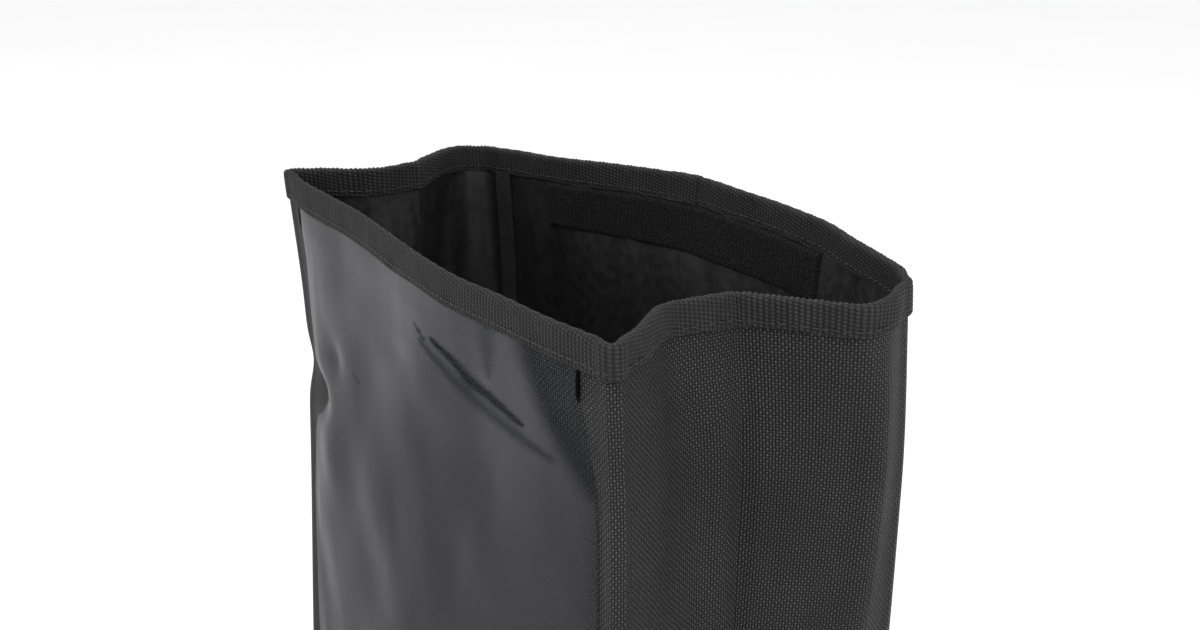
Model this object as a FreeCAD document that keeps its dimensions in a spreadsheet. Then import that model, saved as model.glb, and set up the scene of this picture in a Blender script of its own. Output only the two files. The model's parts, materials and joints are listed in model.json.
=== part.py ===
import FreeCAD, Part
import math
import os

import Sketcher

# Gusseted open-top bag of coated fabric. Millimetres, +Z up, the origin on the
# underside of the base, at the middle between the corner hinges. The front faces -Y.
# The bag folds flat: each gusset breaks at its upright crease, and the front
# comes straight back towards the back.

DRIVING = {
    "bag_width": 260.0,        # outside, from gusset edge to gusset edge
    "bag_height": 300.0,       # from the underside of the base to the top of the binding
    "gusset_half": 60.0,       # width of one half of a gusset, from corner to crease
    "rest_fold": 25.0,         # degrees that each gusset half leans inwards at rest
    "back_bow": 16.0,          # how far the middle of the back stands out
    "front_bow": 4.0,          # how far the middle of the front stands out
    "fabric_thick": 0.9,
    "lining_thick": 0.5,
    "layer_slack": 0.1,        # air between layers that lie on each other
    "hinge_inset": 1.6,        # corner hinge line to the lining faces on both sides of it
    "hinge_outset": 1.1,       # crease hinge line to the outer faces of the gusset
    "hinge_slit": 0.3,         # a gusset half stops this far short of its hinge lines
    "corner_lap": 0.5,         # front and back reach this far past the gussets
    "base_slack": 0.4,         # between the base and the walls that slide over it
    "tape_thick": 0.8,         # rim binding
    "tape_leg": 10.0,          # height of the binding's outer and inner legs
    "join_start": 101.0,       # overlapped end of the binding, from the bag's left edge
    "join_long": 18.0,
    "strip_long": 158.0,       # hook strip and loop strip
    "strip_tall": 20.0,
    "strip_thick": 2.0,
    "strip_start": 39.0,       # from the bag's left edge
    "strip_drop": 0.4,         # under the binding's leg
    "film_thick": 0.4,         # clear film of the front pocket
    "film_left": 13.0,         # bare fabric at the left of the film
    "film_right": 14.0,        # bare fabric at the right of the film
    "film_low": 14.0,          # bare fabric under the film
    "film_tuck": 6.0,          # part of the film that the binding's leg covers
    "seam_wide": 8.0,          # bound seam allowances inside the corners
    "seam_thick": 1.2,
    "seam_back_off": 6.0,      # seam tapes along the base stop this far from the upright ones
}
SHEET = "Sizes"


class Size:
    """A length or an angle: its number, and the expression that gives it from the sheet."""

    def __init__(self, value, text):
        self.value, self.text = value, text

    @staticmethod
    def of(other):
        return other if isinstance(other, Size) else Size(float(other), repr(float(other)))

    def __add__(self, other):
        other = Size.of(other)
        return Size(self.value + other.value, f"({self.text} + {other.text})")

    def __sub__(self, other):
        other = Size.of(other)
        return Size(self.value - other.value, f"({self.text} - {other.text})")

    def __mul__(self, other):
        other = Size.of(other)
        return Size(self.value * other.value, f"({self.text} * {other.text})")

    def __truediv__(self, other):
        other = Size.of(other)
        return Size(self.value / other.value, f"({self.text} / {other.text})")

    def __neg__(self):
        return Size(-self.value, f"(-1 * {self.text})")


def cosine(angle):
    return Size(math.cos(math.radians(angle.value)), f"cos({angle.text} * 1 deg)")


def sine(angle):
    return Size(math.sin(math.radians(angle.value)), f"sin({angle.text} * 1 deg)")


doc = FreeCAD.newDocument("bag")
sheet = doc.addObject("Spreadsheet::Sheet", SHEET)
for row, (name, number) in enumerate(DRIVING.items(), start=1):
    sheet.set(f"A{row}", name)
    sheet.set(f"B{row}", str(number))
    sheet.setAlias(f"B{row}", name)
doc.recompute()
size = {name: Size(number, f"{SHEET}.{name}") for name, number in DRIVING.items()}

ZERO = Size.of(0)
RIGHT, LEFT = 1, -1
REAR, FRONT = 1, -1

# Layers, counted outwards from the lining's inner face.
LINING_OUT = size["lining_thick"]
FABRIC_IN = LINING_OUT + size["layer_slack"]
FABRIC_OUT = FABRIC_IN + size["fabric_thick"]
FILM_IN = FABRIC_OUT + size["layer_slack"]
FILM_OUT = FILM_IN + size["film_thick"]

# Hinge lines. The corner hinges lie inside the lining and the creases outside the fabric,
# so that the faces that close on each other have room.
CREASE_OFF = size["hinge_inset"] + FABRIC_OUT + size["hinge_outset"]
HALF_WIDTH = size["bag_width"] / 2
CORNER_X = HALF_WIDTH - size["corner_lap"] - FABRIC_OUT - size["hinge_inset"]
CORNER_Y = size["gusset_half"] * cosine(size["rest_fold"]) + CREASE_OFF * sine(size["rest_fold"])
CREASE_X = (CORNER_X - size["gusset_half"] * sine(size["rest_fold"])
            + CREASE_OFF * cosine(size["rest_fold"]))
NOTCH_X = CREASE_X - size["hinge_outset"] / cosine(size["rest_fold"])

# Levels.
BASE_TOP = size["fabric_thick"] + size["lining_thick"]
WALL_LOW = BASE_TOP + size["base_slack"]
WALL_TOP = size["bag_height"] - size["tape_thick"] - size["layer_slack"]
LEG_LOW = size["bag_height"] - size["tape_leg"]
TAPE_TALL = size["tape_leg"]
SLOT_DEEP = size["bag_height"] - size["tape_thick"] - LEG_LOW

# Bowed walls: the lining's inner face is an arc through both ends of the wall.
BOW = {REAR: size["back_bow"], FRONT: size["front_bow"]}
RADIUS = {end: (HALF_WIDTH * HALF_WIDTH + bow * bow) / (bow * 2) for end, bow in BOW.items()}
CENTRE_Y = {end: (CORNER_Y + size["hinge_inset"] + BOW[end] - RADIUS[end]) * end
            for end in BOW}


def plane_of(body, role):
    return next(f for f in body.Origin.OriginFeatures if f.Role == role)


def flat_sketch(body, name, level):
    """An empty sketch on the body's own XY plane, raised to a level."""
    sketch = body.newObject("Sketcher::SketchObject", name)
    sketch.AttachmentSupport = (plane_of(body, "XY_Plane"), "")
    sketch.MapMode = "FlatFace"
    sketch.setExpression("AttachmentOffset.Base.z", level.text)
    return sketch


def hold(sketch, name, kind, *places, size):
    """Adds a named dimension and binds it to the sheet."""
    index = sketch.addConstraint(Sketcher.Constraint(kind, *places, size.value))
    sketch.renameConstraint(index, name)
    sketch.setExpression(f"Constraints.{name}", size.text)


def wall_arc(sketch, end, offset, left, right, name):
    """An arc that follows the wall at one end of the bag, from x = left to x = right."""
    radius, centre = RADIUS[end] + offset, CENTRE_Y[end]
    angles = sorted(math.atan2(end * math.sqrt(radius.value ** 2 - x.value ** 2), x.value)
                    for x in (left, right))
    circle = Part.Circle(FreeCAD.Vector(0, centre.value, 0), FreeCAD.Vector(0, 0, 1), radius.value)
    arc = sketch.addGeometry(Part.ArcOfCircle(circle, *angles), False)
    sketch.addConstraint(Sketcher.Constraint("PointOnObject", arc, 3, -2))
    hold(sketch, f"{name}_centre", "DistanceY", arc, 3, size=centre)
    hold(sketch, f"{name}_radius", "Radius", arc, size=radius)
    return arc


def arc_ends(end):
    """Numbers of an arc's points at x = left and x = right: arcs run anticlockwise."""
    return (2, 1) if end == REAR else (1, 2)


def point(sketch, geometry, which):
    return sketch.getPoint(geometry, which)


def layer_sketch(body, name, end, inner, outer, left, right, level):
    """A closed band along a wall: two arcs about one centre, and two ends across them."""
    sketch = flat_sketch(body, name, level)
    arcs = [wall_arc(sketch, end, inner, left, right, "inner"),
            wall_arc(sketch, end, outer, left, right, "outer")]
    for side, which, x in zip(("left", "right"), arc_ends(end), (left, right)):
        ends = [point(sketch, arc, which) for arc in arcs]
        line = sketch.addGeometry(Part.LineSegment(*ends), False)
        for number, arc in enumerate(arcs, start=1):
            sketch.addConstraint(Sketcher.Constraint("Coincident", line, number, arc, which))
        sketch.addConstraint(Sketcher.Constraint("Vertical", line))
        hold(sketch, f"{side}_end", "DistanceX", line, 1, size=x)
    return sketch


def new_body(label):
    body = doc.addObject("PartDesign::Body", label)
    body.Label = label
    return body


def pad(body, sketch, height):
    feature = body.newObject("PartDesign::Pad", f"{body.Name}_pad")
    feature.Profile = sketch
    feature.setExpression("Length", height.text)
    sketch.Visibility = False
    return feature


def wall_layer(label, end, inner, outer, left, right, low, high):
    """A layer that follows the front or the back, such as a panel, a strip or a tape."""
    body = new_body(label)
    sketch = layer_sketch(body, f"{label}_outline", end, inner, outer, left, right, low)
    pad(body, sketch, high - low)
    return body


def wall_binding(label, end, outermost):
    """The rim binding of the front or the back: a channel folded over the wall's edge."""
    body = wall_layer(label, end, -(size["layer_slack"] + size["tape_thick"]),
                      outermost + size["layer_slack"] + size["tape_thick"],
                      -HALF_WIDTH, HALF_WIDTH, LEG_LOW, size["bag_height"])
    slot_top = size["bag_height"] - size["tape_thick"]
    slot = layer_sketch(body, f"{label}_slot", end, -size["layer_slack"],
                        outermost + size["layer_slack"],
                        -(HALF_WIDTH + 1), HALF_WIDTH + 1, slot_top)
    pocket = body.newObject("PartDesign::Pocket", f"{label}_pocket")
    pocket.Profile = slot
    pocket.setExpression("Length", (SLOT_DEEP + 1).text)
    slot.Visibility = False
    return body


def base_layer(label, low, high):
    """A sheet of the base: it follows the walls, with a notch at each crease."""
    body = new_body(label)
    sketch = flat_sketch(body, f"{label}_outline", low)
    arcs = {end: wall_arc(sketch, end, FABRIC_OUT, -HALF_WIDTH, HALF_WIDTH, name)
            for end, name in ((REAR, "back"), (FRONT, "front"))}
    for side, name in ((LEFT, "left"), (RIGHT, "right")):
        notch = FreeCAD.Vector(side * NOTCH_X.value, 0, 0)
        lines = {}
        for end in (REAR, FRONT):
            which = arc_ends(end)[0 if side == LEFT else 1]
            corner = point(sketch, arcs[end], which)
            lines[end] = sketch.addGeometry(Part.LineSegment(corner, notch), False)
            sketch.addConstraint(Sketcher.Constraint("Coincident", lines[end], 1, arcs[end], which))
            hold(sketch, f"{name}_{'back' if end == REAR else 'front'}", "DistanceX",
                 lines[end], 1, size=HALF_WIDTH * side)
        sketch.addConstraint(Sketcher.Constraint("Coincident", lines[REAR], 2, lines[FRONT], 2))
        sketch.addConstraint(Sketcher.Constraint("PointOnObject", lines[REAR], 2, -1))
        hold(sketch, f"{name}_notch", "DistanceX", lines[REAR], 2, size=NOTCH_X * side)
    pad(body, sketch, high - low)
    return body


def lean(feature, side, end, along, inner, outer, low):
    """Turns a piece onto a gusset half. Along runs from the corner hinge to the crease."""
    fold = size["rest_fold"]
    out = inner if side == end else outer
    feature.Placement = FreeCAD.Placement(
        FreeCAD.Vector(), FreeCAD.Rotation(FreeCAD.Vector(0, 0, 1), 1))
    feature.setExpression("Placement.Rotation.Angle", ((fold * side + 90) * -end).text)
    feature.setExpression("Placement.Base.x", (
        (CORNER_X - along * sine(fold) + out * cosine(fold)) * side).text)
    feature.setExpression("Placement.Base.y", (
        (CORNER_Y - along * cosine(fold) - out * sine(fold)) * end).text)
    feature.setExpression("Placement.Base.z", low.text)


def block(name, long, thick, tall):
    box = doc.addObject("Part::Box", name)
    for side, length in (("Length", long), ("Width", thick), ("Height", tall)):
        box.setExpression(side, length.text)
    return box


def gusset_layer(label, side, end, inner, outer, low, high):
    """A flat layer of one gusset half, between two offsets outwards from its lining face."""
    layer = block(label, size["gusset_half"] - size["hinge_slit"] * 2, outer - inner, high - low)
    layer.Label = label
    lean(layer, side, end, size["hinge_slit"],
         size["hinge_inset"] + inner, size["hinge_inset"] + outer, low)
    return layer


def gusset_binding(label, side, end):
    """The rim binding of one gusset half: a channel folded over its edge."""
    skin, slack = size["tape_thick"], size["layer_slack"]
    inner, outer = -(slack + skin), FABRIC_OUT + slack + skin
    long = size["gusset_half"] - size["hinge_slit"] * 2
    around = block(f"{label}_around", long, outer - inner, TAPE_TALL)
    slot = block(f"{label}_slot", long + 2, outer - inner - skin * 2, SLOT_DEEP + 1)
    slot.setExpression("Placement.Base.x", "-1")
    slot.setExpression("Placement.Base.y", skin.text)
    slot.setExpression("Placement.Base.z", "-1")
    channel = doc.addObject("Part::Cut", label)
    channel.Base, channel.Tool, channel.Label = around, slot, label
    lean(channel, side, end, size["hinge_slit"],
         size["hinge_inset"] + inner, size["hinge_inset"] + outer, LEG_LOW)
    return channel


def wall_pieces(name, end, outermost):
    """Panel, lining, binding, strip and seam tapes of the front or the back."""
    strip_top = LEG_LOW - size["strip_drop"]
    strip_left = size["strip_start"] - HALF_WIDTH
    seam_reach = CORNER_X - size["seam_wide"]
    yield wall_layer(f"{name}_panel", end, FABRIC_IN, FABRIC_OUT,
                     -HALF_WIDTH, HALF_WIDTH, WALL_LOW, WALL_TOP)
    yield wall_layer(f"{name}_lining", end, ZERO, LINING_OUT,
                     -HALF_WIDTH, HALF_WIDTH, WALL_LOW, WALL_TOP)
    yield wall_binding(f"{name}_rim_binding", end, outermost)
    yield wall_layer("loop_strip" if end == REAR else "hook_strip", end,
                     -(size["layer_slack"] + size["strip_thick"]), -size["layer_slack"],
                     strip_left, strip_left + size["strip_long"],
                     strip_top - size["strip_tall"], strip_top)
    for side, word in ((LEFT, "left"), (RIGHT, "right")):
        near, far = seam_reach * side, CORNER_X * side
        yield wall_layer(f"{name}_{word}_seam_tape", end, -size["seam_thick"], ZERO,
                         far if side == LEFT else near, near if side == LEFT else far,
                         WALL_LOW, strip_top)
    seam_end = seam_reach - size["seam_back_off"]
    yield wall_layer(f"{name}_base_seam_tape", end, -size["seam_thick"], ZERO,
                     -seam_end, seam_end, WALL_LOW, WALL_LOW + size["seam_wide"])


def gusset_pieces(side, end):
    """Panel, lining and binding of one gusset half."""
    name = f"{'right' if side == RIGHT else 'left'}_gusset_{'rear' if end == REAR else 'front'}"
    yield gusset_layer(f"{name}_panel", side, end, FABRIC_IN, FABRIC_OUT, WALL_LOW, WALL_TOP)
    yield gusset_layer(f"{name}_lining", side, end, ZERO, LINING_OUT, WALL_LOW, WALL_TOP)
    yield gusset_binding(f"{name}_rim_binding", side, end)


def front_film():
    """Clear film over the front, tucked under the binding's outer leg."""
    return wall_layer("front_film", FRONT, FILM_IN, FILM_OUT,
                      size["film_left"] - HALF_WIDTH, HALF_WIDTH - size["film_right"],
                      WALL_LOW + size["film_low"], LEG_LOW + size["film_tuck"])


def binding_join():
    """The overlapped end of the rim binding, on the outside of the back."""
    under = FABRIC_OUT + size["layer_slack"] + size["tape_thick"]
    left = size["join_start"] - HALF_WIDTH
    return wall_layer("rim_binding_join", REAR, under, under + size["tape_thick"],
                      left, left + size["join_long"], LEG_LOW, size["bag_height"])


pieces = [base_layer("base_panel", ZERO, size["fabric_thick"]),
          base_layer("base_lining", size["fabric_thick"], BASE_TOP)]
pieces += wall_pieces("back", REAR, FABRIC_OUT)
pieces.append(binding_join())
pieces += wall_pieces("front", FRONT, FILM_OUT)
pieces.append(front_film())
for gusset_side in (RIGHT, LEFT):
    for gusset_end in (REAR, FRONT):
        pieces += gusset_pieces(gusset_side, gusset_end)

doc.recompute()
for item in doc.Objects:
    if "Invalid" in item.State or "Error" in item.State:
        raise RuntimeError(f"{item.Label} did not compute: {item.State}")
for piece in pieces:
    shape = piece.Shape
    if shape.isNull() or not shape.isValid() or len(shape.Solids) != 1:
        raise RuntimeError(f"{piece.Label} is not one sound solid")

os.makedirs("parts", exist_ok=True)
for piece in pieces:
    piece.Shape.exportStep(os.path.join("parts", f"{piece.Label}.step"))
print(f"{len(pieces)} pieces")
print("corner hinge", round(CORNER_X.value, 4), round(CORNER_Y.value, 4),
      "crease", round(CREASE_X.value, 4))
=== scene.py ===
import json
import math

import bpy
import numpy as np
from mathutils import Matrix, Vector


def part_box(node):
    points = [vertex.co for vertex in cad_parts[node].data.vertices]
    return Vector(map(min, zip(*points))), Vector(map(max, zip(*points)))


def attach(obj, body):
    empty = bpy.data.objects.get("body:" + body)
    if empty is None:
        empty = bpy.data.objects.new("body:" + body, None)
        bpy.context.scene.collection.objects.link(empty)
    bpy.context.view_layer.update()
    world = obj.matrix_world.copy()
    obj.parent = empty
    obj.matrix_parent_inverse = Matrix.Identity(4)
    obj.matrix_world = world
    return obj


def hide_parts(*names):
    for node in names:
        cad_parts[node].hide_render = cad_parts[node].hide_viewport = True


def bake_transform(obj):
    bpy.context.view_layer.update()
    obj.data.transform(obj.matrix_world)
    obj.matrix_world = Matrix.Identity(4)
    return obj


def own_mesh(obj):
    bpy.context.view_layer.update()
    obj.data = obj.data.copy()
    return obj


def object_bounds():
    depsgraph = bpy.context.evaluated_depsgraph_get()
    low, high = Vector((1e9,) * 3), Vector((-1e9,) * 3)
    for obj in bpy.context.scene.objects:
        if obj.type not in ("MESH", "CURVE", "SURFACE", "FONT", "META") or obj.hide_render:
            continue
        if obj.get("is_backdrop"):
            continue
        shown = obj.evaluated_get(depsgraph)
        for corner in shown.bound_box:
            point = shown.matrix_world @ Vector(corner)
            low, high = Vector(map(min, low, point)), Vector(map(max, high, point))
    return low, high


bl_info = {
    "name": "Gusseted Battery Bag",
    "version": (1, 0, 0),
    "blender": (4, 5, 0),
    "location": "View3D > Sidebar > Bag",
    "description": "Cloth, binding, film and stitching of an open-top gusseted bag, made around its frame",
    "category": "Object",
}

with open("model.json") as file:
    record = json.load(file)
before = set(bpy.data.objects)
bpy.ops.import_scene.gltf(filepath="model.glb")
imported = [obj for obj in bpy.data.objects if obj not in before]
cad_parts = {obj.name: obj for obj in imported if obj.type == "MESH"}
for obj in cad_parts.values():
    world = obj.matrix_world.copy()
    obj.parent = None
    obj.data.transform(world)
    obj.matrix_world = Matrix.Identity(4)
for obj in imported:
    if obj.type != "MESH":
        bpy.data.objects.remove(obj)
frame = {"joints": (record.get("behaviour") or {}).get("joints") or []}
CAD_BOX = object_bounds()

MM = 0.001
JOINTS = {j["name"]: j for j in frame["joints"]}
CREASE_X = JOINTS["right_crease"]["pos_m"][0] / MM
RIM_HEIGHT = CAD_BOX[1].z
WALL_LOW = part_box("front_panel")[0].z
WAIST_HEIGHT = 225 * MM
BASE_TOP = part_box("base_lining")[1].z

# Outlines of the bag, wall by wall, going round from the front left corner: front, right
# gusset, back, left gusset. Each gusset comes as its two halves, with the crease between.
# Millimetres; the rim's points carry their own height, because the rim rises and dips.
RIM = (
    ((-127, -50.5, 303), (-109, -53.6, 302), (-84, -54, 301.2), (-58, -54.5, 301),
     (-30, -57, 300.5), (-5, -60, 300), (20, -62.7, 300), (40, -64.2, 300),
     (70, -62.6, 300), (99, -61.7, 300), (128, -59, 300)),
    ((128, -59, 300), (120.6, -43.3, 300), (113.5, -34.2, 300), (106.3, -23.5, 299.7),
     (107.2, -9, 299.6), (108, 5, 299)),
    ((108, 5, 299), (119.8, 14, 299), (130.3, 21.8, 298.8), (137.8, 27.9, 298.5),
     (141.4, 31.5, 298.5), (141.6, 40, 299), (131.5, 59, 299.5)),
    ((131.5, 59, 299.5), (121.5, 67.4, 300), (111, 70.7, 300.5), (86.6, 77.6, 301),
     (67.4, 83, 302), (52.3, 84.2, 302.5), (32.4, 85.4, 303), (12.5, 85.6, 303),
     (-10.4, 86, 303.3), (-29.4, 82, 303), (-47, 77.2, 302.5), (-64.2, 70.4, 302),
     (-78.7, 64.4, 301.5), (-94, 60.4, 301), (-113, 55.8, 300.5), (-129.5, 50, 300)),
    ((-129.5, 50, 300), (-134.5, 42, 300.6), (-131, 31, 301.6), (-119, 16, 303),
     (-CREASE_X, 0, 304)),
    ((-CREASE_X, 0, 304), (-101.5, -19, 304.3), (-107, -31, 304.3), (-118.7, -40.5, 303.6),
     (-127, -50.5, 303)),
)
WAIST = (
    ((-127, -46, 225), (-90, -55, 225), (-40, -60, 225), (20, -63, 225), (80, -63, 225),
     (129, -57, 225)),
    ((129, -57, 225), (122, -43, 225), (111, -22, 225), (110, 9, 225)),
    ((110, 9, 225), (127, 27, 225), (140, 42, 225), (134, 60, 225)),
    ((134, 60, 225), (100, 71, 225), (50, 79, 225), (0, 80, 225), (-50, 74, 225),
     (-100, 62, 225), (-129, 53, 225)),
    ((-129, 53, 225), (-133, 30, 225), (-CREASE_X, 0, 225)),
    ((-CREASE_X, 0, 225), (-109, -24, 225), (-127, -46, 225)),
)
FOOT = (
    ((-126, -57, 0), (0, -61, 0), (126, -57, 0)),
    ((126, -57, 0), (119, -36, 0), (106, 0, 0)),
    ((106, 0, 0), (119, 36, 0), (126, 57, 0)),
    ((126, 57, 0), (0, 63, 0), (-126, 57, 0)),
    ((-126, 57, 0), (-119, 34, 0), (-CREASE_X, 0, 0)),
    ((-CREASE_X, 0, 0), (-119, -34, 0), (-126, -57, 0)),
)
# Where each of those stretches starts on the way round: a wall counts 1, a gusset half a half.
STARTS = (0, 1, 1.5, 2, 3, 3.5, 4)

# Layers of the wall, outwards from its middle.
LINING = (-0.75 * MM, -0.25 * MM)
CLOTH = (-0.15 * MM, 0.75 * MM)
FILM = (0.95 * MM, 1.3 * MM)
TAPE_GAP, TAPE_FACE = 0.85 * MM, 1.65 * MM

# Dents and bulges: place on the way round, height, reach round, reach up (mm), depth outwards (mm).
DENTS = (
    (0.0, 215, 8, 11, -2.4), (0.11, 209, 14, 9, -4.5), (0.17, 186, 18, 18, 1.4),
    (0.22, 234, 9, 7, -1.4),
    (0.36, 262, 30, 10, 0.9), (0.47, 258, 16, 7, -1.0), (0.60, 252, 36, 12, 1.2),
    (0.72, 276, 9, 20, -0.9), (0.50, 130, 70, 60, 4.0), (0.95, 283, 5, 9, 1.0),
    (1.20, 262, 9, 60, 1.8), (1.36, 250, 7, 70, -1.5), (1.44, 215, 5, 90, 1.2),
    (1.50, 215, 3.4, 90, -1.5), (1.70, 130, 30, 70, 3.0), (1.86, 225, 5, 60, 1.6),
    (1.78, 238, 5, 40, -1.0),
    (2.20, 150, 60, 60, 2.5), (2.50, 120, 90, 70, 5.0), (2.80, 230, 20, 50, -2.0),
    (3.08, 250, 6, 60, 1.6), (3.17, 255, 5, 60, -2.0), (3.26, 250, 6, 60, 2.2),
    (3.66, 240, 6, 60, -1.8), (3.80, 230, 8, 60, 1.6),
)

# Where two walls meet, the seam stands out as a flat ridge.
RIDGE_HIGH, RIDGE_WIDE = 1.2 * MM, 4.4 * MM
# Beside the left crease the wall keeps to the line that its halves turn on.
CREASE_STILL = 6 * MM
# Slack of the cloth in each wall, from the front round to the left gusset, in millimetres.
SLACK = (0.5, 1.0, 2.2, 1.2)
SLACK_WAVES = ((0.19, 0.27), (0.11, 0.21), (0.085, 0.13), (0.15, 0.09))
# Waves of the lining, which hangs looser than the cloth: metres across, and share of the height.
LINING_WAVES = ((0.031, 0.9), (0.047, 0.6), (0.019, 1.7))

# Stretches of the wall: from, to, and the body or bodies. A stretch with one body moves with it. Where
# there are two bodies, the bend's start and end follow, in millimetres; nothing reads them, and such a
# stretch stays where it is.
STRETCHES = {
    "front": (0.035, 0.965, "front_wall"),
    "right_front": (0.965, 1.36, "front_wall", "right_gusset_front", (126, -62), (130.5, -54.2)),
    "right_crease": (1.36, 1.62, "right_gusset_front", "right_gusset_rear", (107, -13), (107, 13.5)),
    "right_rear": (1.62, 2.035, "right_gusset_rear", "back_and_base", (132, 54.5), (127.5, 62.3)),
    "back": (2.035, 2.965, "back_and_base"),
    "left_rear": (2.965, 3.5, "back_and_base", "left_gusset_rear", (-126, 58), (-130.5, 50.2)),
    "left_front": (3.5, 4.035, "left_gusset_front", "front_wall", (-129.2, -49.5), (-124.7, -57.3)),
}
NODE_OF = {
    "front": "front", "back": "back",
    "right_front": "right_gusset_front", "right_rear": "right_gusset_rear",
    "left_front": "left_gusset_front", "left_rear": "left_gusset_rear",
}


def length_property(name, description, millimetres):
    return bpy.props.FloatProperty(
        name=name, description=description, default=millimetres * MM, unit="LENGTH")


class BagSizes(bpy.types.PropertyGroup):
    """Sizes of the trim and of the cloth's texture."""

    cloth_step: length_property("Cloth step", "Spacing of the cloth's mesh", 2.4)
    weave_pitch: length_property(
        "Weave pitch", "Distance between neighbouring threads of the outer cloth", 1.12)
    tape_leg: length_property(
        "Binding leg", "Height of the rim binding on each side of the wall", 10.2)
    rib_pitch: length_property(
        "Rib pitch", "Distance between neighbouring ribs of the binding", 1.8)
    bead_pitch: length_property(
        "Bead pitch", "Distance between the cross threads that bead the ribs", 1.4)
    rib_height: length_property(
        "Rib height", "How far the ribs of the binding stand out", 0.42)
    stitch_long: length_property(
        "Stitch length", "Length of one stitch on the face of the work", 2.7)
    stitch_gap: length_property("Stitch gap", "Cloth between one stitch and the next", 0.8)
    thread_thick: length_property("Thread thickness", "Diameter of the sewing thread", 0.5)


def colour_property(name, description, default):
    return bpy.props.FloatVectorProperty(
        name=name, description=description, default=default, subtype="COLOR", min=0, max=1)


class BagColours(bpy.types.PropertyGroup):
    """Colours of the cloth, the trim and the film."""

    cloth: colour_property("Cloth", "Outer woven cloth", (0.0140, 0.0140, 0.0144))
    lining: colour_property("Lining", "Smooth lining inside", (0.0065, 0.0065, 0.0070))
    tape: colour_property("Tape", "Ribbed rim binding", (0.0112, 0.0112, 0.0112))
    seam: colour_property("Seam tape", "Tape over the seams inside", (0.0150, 0.0150, 0.0155))
    pile: colour_property("Closure strips", "Hook strip and loop strip", (0.0022, 0.0022, 0.0023))
    thread: colour_property("Thread", "Sewing thread", (0.014, 0.014, 0.0145))
    film: colour_property("Film haze", "Milkiness of the clear film", (0.93, 0.93, 0.98))
    floor: colour_property("Floor", "Studio floor", (0.86, 0.86, 0.87))


# ---------------------------------------------------------------- shape of the wall


def hermite(share, start, leaving, end, arriving):
    """A cubic from start to end, leaving and arriving with the given slopes."""
    return ((2 * share**3 - 3 * share**2 + 1) * start + (share**3 - 2 * share**2 + share) * leaving
            + (3 * share**2 - 2 * share**3) * end + (share**3 - share**2) * arriving)


def run_along(points):
    """Length along a row of points, from its first point to each."""
    return np.concatenate([[0], np.cumsum(np.linalg.norm(np.diff(points, axis=0), axis=1))])


def curve_through(points, count):
    """A smooth open curve through points, as count + 1 positions evenly spaced along it."""
    points = np.array(points, float)
    knots = run_along(points)
    slopes = np.gradient(points, knots, axis=0)
    at = np.linspace(0, knots[-1], count * 4 + 1)
    index = np.clip(np.searchsorted(knots, at, side="right") - 1, 0, len(knots) - 2)
    width = (knots[index + 1] - knots[index])[:, None]
    share = (at[:, None] - knots[index][:, None]) / width
    fine = hermite(share, points[index], width * slopes[index],
                   points[index + 1], width * slopes[index + 1])
    run = run_along(fine)
    even = np.linspace(0, run[-1], count + 1)
    return np.stack([np.interp(even, run, fine[:, k]) for k in range(3)], axis=1)


def ripple(a, b, waves, seed):
    """A smooth uneven value between about -1 and 1: waves of (length across, length up) in metres."""
    phases = np.random.default_rng(seed).uniform(0, 2 * math.pi, (len(waves), 2))
    total = sum(np.sin(2 * math.pi * a / across + p) * np.cos(2 * math.pi * b / up + q)
                for (across, up), (p, q) in zip(waves, phases))
    return total / math.sqrt(len(waves))


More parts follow.
